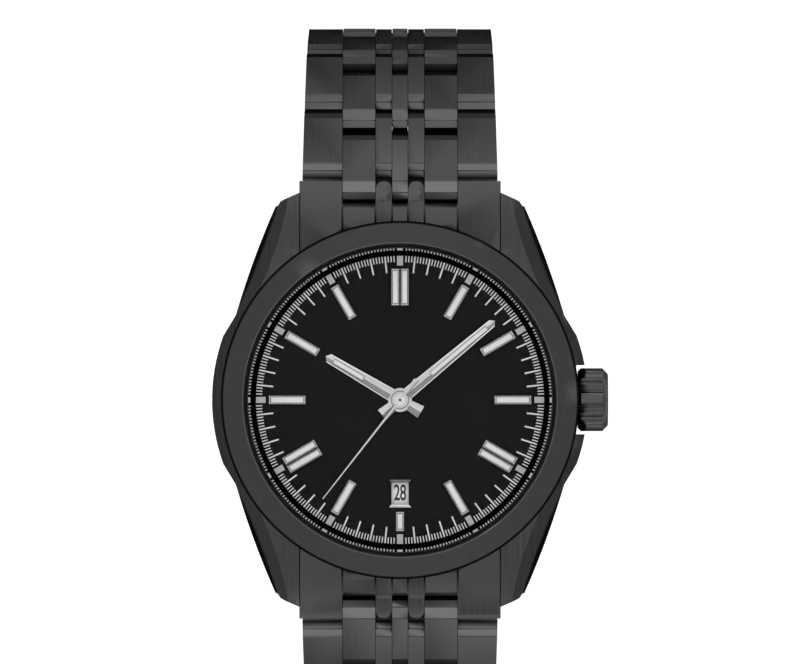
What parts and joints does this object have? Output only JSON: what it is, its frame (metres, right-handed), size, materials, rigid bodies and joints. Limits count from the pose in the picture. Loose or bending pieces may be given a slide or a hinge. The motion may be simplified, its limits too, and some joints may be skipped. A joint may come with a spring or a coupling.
{
  "type": "wristwatch",
  "caption": "Round self-winding wristwatch in black steel with baton markers, date window, fluted crown and a tapering link bracelet closed by a fold-over clasp.",
  "frame": {"origin": "centre of the case back's outer face, which rests on the wrist", "axes": "+Z through the dial towards the viewer, +Y towards twelve o'clock, +X towards the crown"},
  "size_m": [0.0432, 0.082, 0.0495],
  "materials": {
    "black_steel_satin": "satin",
    "black_steel_polished": "gloss",
    "dial_black": "satin",
    "silver_trim": "gloss",
    "sapphire": "gloss",
    "rubber_black": "matte",
    "movement_nickel": "satin",
    "movement_brass": "gloss",
    "date_white": "matte",
    "ruby": "gloss",
    "blued_steel": "gloss"
  },
  "bodies": {
    "case": {"mid_case": "black_steel_satin", "bezel": "black_steel_satin", "crystal": "sapphire", "case_gaskets": "rubber_black", "flange_ring": "black_steel_polished", "dial": "dial_black", "hour_markers": "silver_trim", "date_frame": "silver_trim", "movement_holder": "movement_nickel", "main_plate": "movement_nickel", "train_bridge": "movement_nickel", "balance_cock": "movement_nickel", "jewels": "ruby", "movement_screws": "blued_steel", "case_back": "black_steel_satin", "crown_tube": "movement_nickel", "lug_spring_bars": "movement_nickel", "end_link_12": "black_steel_satin", "end_link_6": "black_steel_satin", "rotor_bearing": "movement_nickel"},
    "hour": {"hour_hand": "silver_trim"},
    "minute": {"minute_hand": "silver_trim"},
    "seconds": {"seconds_hand": "silver_trim", "fourth_wheel": "movement_brass"},
    "centre": {"centre_wheel": "movement_brass"},
    "third": {"third_wheel": "movement_brass"},
    "escape": {"escape_wheel": "movement_nickel"},
    "mainspring": {"barrel": "movement_brass"},
    "pallets": {"pallet_fork": "movement_nickel"},
    "balance": {"balance_wheel": "movement_brass", "hairspring": "blued_steel"},
    "rotor": {"rotor": "movement_nickel"},
    "date": {"date_disc": "date_white"},
    "stem_slider": {"stem_guide": "movement_nickel"},
    "crown": {"winding_stem": "movement_nickel", "crown": "black_steel_polished", "crown_gasket": "rubber_black"},
    "lever": {"setting_lever": "movement_nickel"},
    "cover": {"clasp_cover": "black_steel_satin", "clasp_hinge_pin": "movement_nickel"},
    "middle_blade": {"clasp_middle_blade": "black_steel_satin", "clasp_fold_pin": "movement_nickel"},
    "end_blade": {"clasp_end_blade": "black_steel_satin"},
    "pusher_right": {"clasp_pusher_right": "black_steel_polished"},
    "pusher_left": {"clasp_pusher_left": "black_steel_polished"},
    "strap_12_1": {"link_12_1": "black_steel_satin"},
    "strap_12_2": {"link_12_2": "black_steel_satin"},
    "strap_12_3": {"link_12_3": "black_steel_satin"},
    "strap_12_4": {"link_12_4": "black_steel_satin"},
    "strap_12_5": {"link_12_5": "black_steel_satin"},
    "strap_12_6": {"link_12_6": "black_steel_satin"},
    "strap_12_7": {"link_12_7": "black_steel_satin"},
    "strap_6_1": {"link_6_1": "black_steel_satin"},
    "strap_6_2": {"link_6_2": "black_steel_satin"},
    "strap_6_3": {"link_6_3": "black_steel_satin"},
    "strap_6_4": {"link_6_4": "black_steel_satin"},
    "strap_6_5": {"link_6_5": "black_steel_satin"},
    "strap_6_6": {"link_6_6": "black_steel_satin"},
    "strap_6_7": {"link_6_7": "black_steel_satin"},
    "strap_6_8": {"link_6_8": "black_steel_satin"}
  },
  "joints": [
    {"name": "minute_turn", "type": "hinge", "parent": "case", "child": "minute", "pos_m": [0, 0, 0.004], "axis": [0, 0, 1], "continuous": true},
    {"name": "hour_turn", "type": "hinge", "parent": "case", "child": "hour", "pos_m": [0, 0, 0.004], "axis": [0, 0, 1], "continuous": true},
    {"name": "seconds_turn", "type": "hinge", "parent": "case", "child": "seconds", "pos_m": [0, 0, 0.004], "axis": [0, 0, 1], "continuous": true},
    {"name": "third_turn", "type": "hinge", "parent": "case", "child": "third", "pos_m": [0.00526, -0.00192, 0.004], "axis": [0, 0, 1], "continuous": true},
    {"name": "centre_turn", "type": "hinge", "parent": "case", "child": "centre", "pos_m": [0, 0, 0.004], "axis": [0, 0, 1], "continuous": true},
    {"name": "escape_turn", "type": "hinge", "parent": "case", "child": "escape", "pos_m": [0.00096, -0.00542, 0.004], "axis": [0, 0, 1], "continuous": true},
    {"name": "mainspring_turn", "type": "hinge", "parent": "case", "child": "mainspring", "pos_m": [-0.0045, 0.00378, 0.004], "axis": [0, 0, 1], "continuous": true},
    {"name": "pallet_rock", "type": "hinge", "parent": "case", "child": "pallets", "pos_m": [-0.00198, -0.00602, 0.004], "axis": [0, 0, 1], "range_deg": [-5, 5]},
    {"name": "balance_swing", "type": "hinge", "parent": "case", "child": "balance", "pos_m": [-0.00523, -0.0067, 0.004], "axis": [0, 0, 1], "range_deg": [-150, 150], "stiffness_Nm_per_rad": 0.000001},
    {"name": "rotor_turn", "type": "hinge", "parent": "case", "child": "rotor", "pos_m": [0, 0, 0.004], "axis": [0, 0, 1], "continuous": true},
    {"name": "date_turn", "type": "hinge", "parent": "case", "child": "date", "pos_m": [0, 0, 0.004], "axis": [0, 0, 1], "continuous": true},
    {"name": "crown_pull", "type": "slide", "parent": "case", "child": "stem_slider", "axis": [1, 0, 0], "range_m": [0, 0.0016]},
    {"name": "crown_turn", "type": "hinge", "parent": "stem_slider", "child": "crown", "pos_m": [0.02, 0, 0.0043], "axis": [1, 0, 0], "continuous": true},
    {"name": "lever_turn", "type": "hinge", "parent": "case", "child": "lever", "pos_m": [0.0116, 0.0042, 0.0049], "axis": [0, 0, 1], "range_deg": [0, 30]},
    {"name": "strap_12_hinge_1", "type": "hinge", "parent": "case", "child": "strap_12_1", "pos_m": [0, 0.0228, 0.004], "axis": [1, 0, 0], "range_deg": [0, 25]},
    {"name": "strap_12_hinge_2", "type": "hinge", "parent": "strap_12_1", "child": "strap_12_2", "pos_m": [0, 0.0304, 0.00093], "axis": [1, 0, 0], "range_deg": [0, 19]},
    {"name": "strap_12_hinge_3", "type": "hinge", "parent": "strap_12_2", "child": "strap_12_3", "pos_m": [0, 0.03686, -0.00412], "axis": [1, 0, 0], "range_deg": [0, 35]},
    {"name": "strap_12_hinge_4", "type": "hinge", "parent": "strap_12_3", "child": "strap_12_4", "pos_m": [0, 0.03967, -0.01183], "axis": [1, 0, 0], "range_deg": [0, 25]},
    {"name": "strap_12_hinge_5", "type": "hinge", "parent": "strap_12_4", "child": "strap_12_5", "pos_m": [0, 0.03938, -0.02002], "axis": [1, 0, 0], "range_deg": [0, 26]},
    {"name": "strap_12_hinge_6", "type": "hinge", "parent": "strap_12_5", "child": "strap_12_6", "pos_m": [0, 0.03592, -0.02745], "axis": [1, 0, 0], "range_deg": [0, 28]},
    {"name": "strap_12_hinge_7", "type": "hinge", "parent": "strap_12_6", "child": "strap_12_7", "pos_m": [0, 0.02964, -0.03272], "axis": [1, 0, 0], "range_deg": [0, 23]},
    {"name": "strap_6_hinge_1", "type": "hinge", "parent": "case", "child": "strap_6_1", "pos_m": [0, -0.0228, 0.004], "axis": [-1, 0, 0], "range_deg": [0, 25]},
    {"name": "strap_6_hinge_2", "type": "hinge", "parent": "strap_6_1", "child": "strap_6_2", "pos_m": [0, -0.0304, 0.00093], "axis": [-1, 0, 0], "range_deg": [0, 19]},
    {"name": "strap_6_hinge_3", "type": "hinge", "parent": "strap_6_2", "child": "strap_6_3", "pos_m": [0, -0.03686, -0.00412], "axis": [-1, 0, 0], "range_deg": [0, 35]},
    {"name": "strap_6_hinge_4", "type": "hinge", "parent": "strap_6_3", "child": "strap_6_4", "pos_m": [0, -0.03967, -0.01183], "axis": [-1, 0, 0], "range_deg": [0, 25]},
    {"name": "strap_6_hinge_5", "type": "hinge", "parent": "strap_6_4", "child": "strap_6_5", "pos_m": [0, -0.03938, -0.02002], "axis": [-1, 0, 0], "range_deg": [0, 26]},
    {"name": "strap_6_hinge_6", "type": "hinge", "parent": "strap_6_5", "child": "strap_6_6", "pos_m": [0, -0.03592, -0.02745], "axis": [-1, 0, 0], "range_deg": [0, 28]},
    {"name": "strap_6_hinge_7", "type": "hinge", "parent": "strap_6_6", "child": "strap_6_7", "pos_m": [0, -0.02964, -0.03272], "axis": [-1, 0, 0], "range_deg": [0, 23]},
    {"name": "strap_6_hinge_8", "type": "hinge", "parent": "strap_6_7", "child": "strap_6_8", "pos_m": [0, -0.02193, -0.03553], "axis": [-1, 0, 0], "range_deg": [0, 18]},
    {"name": "cover_hinge", "type": "hinge", "parent": "strap_6_8", "child": "cover", "pos_m": [0, -0.01376, -0.03624], "axis": [-1, 0, 0], "range_deg": [0, 8]},
    {"name": "clasp_fold", "type": "hinge", "parent": "cover", "child": "middle_blade", "pos_m": [0, 0.0196, -0.0369], "axis": [-1, 0, 0], "range_deg": [0, 95]},
    {"name": "blade_fold", "type": "hinge", "parent": "middle_blade", "child": "end_blade", "pos_m": [0, -0.0095, -0.0369], "axis": [1, 0, 0], "range_deg": [0, 135]},
    {"name": "pusher_right_press", "type": "slide", "parent": "cover", "child": "pusher_right", "axis": [-1, 0, 0], "range_m": [0, 0.0006], "stiffness_N_per_m": 600, "springref_m": -0.0003},
    {"name": "pusher_left_press", "type": "slide", "parent": "cover", "child": "pusher_left", "axis": [1, 0, 0], "range_m": [0, 0.0006], "stiffness_N_per_m": 600, "springref_m": -0.0003}
  ],
  "couplings": [
    {"joint": "hour_turn", "follows": "minute_turn", "ratio": 0.083333},
    {"joint": "third_turn", "follows": "seconds_turn", "ratio": -0.13333},
    {"joint": "centre_turn", "follows": "seconds_turn", "ratio": 0.016667},
    {"joint": "mainspring_turn", "follows": "seconds_turn", "ratio": -0.0027778},
    {"joint": "escape_turn", "follows": "seconds_turn", "ratio": -10},
    {"joint": "lever_turn", "follows": "crown_pull", "rad_per_m": 320}
  ]
}
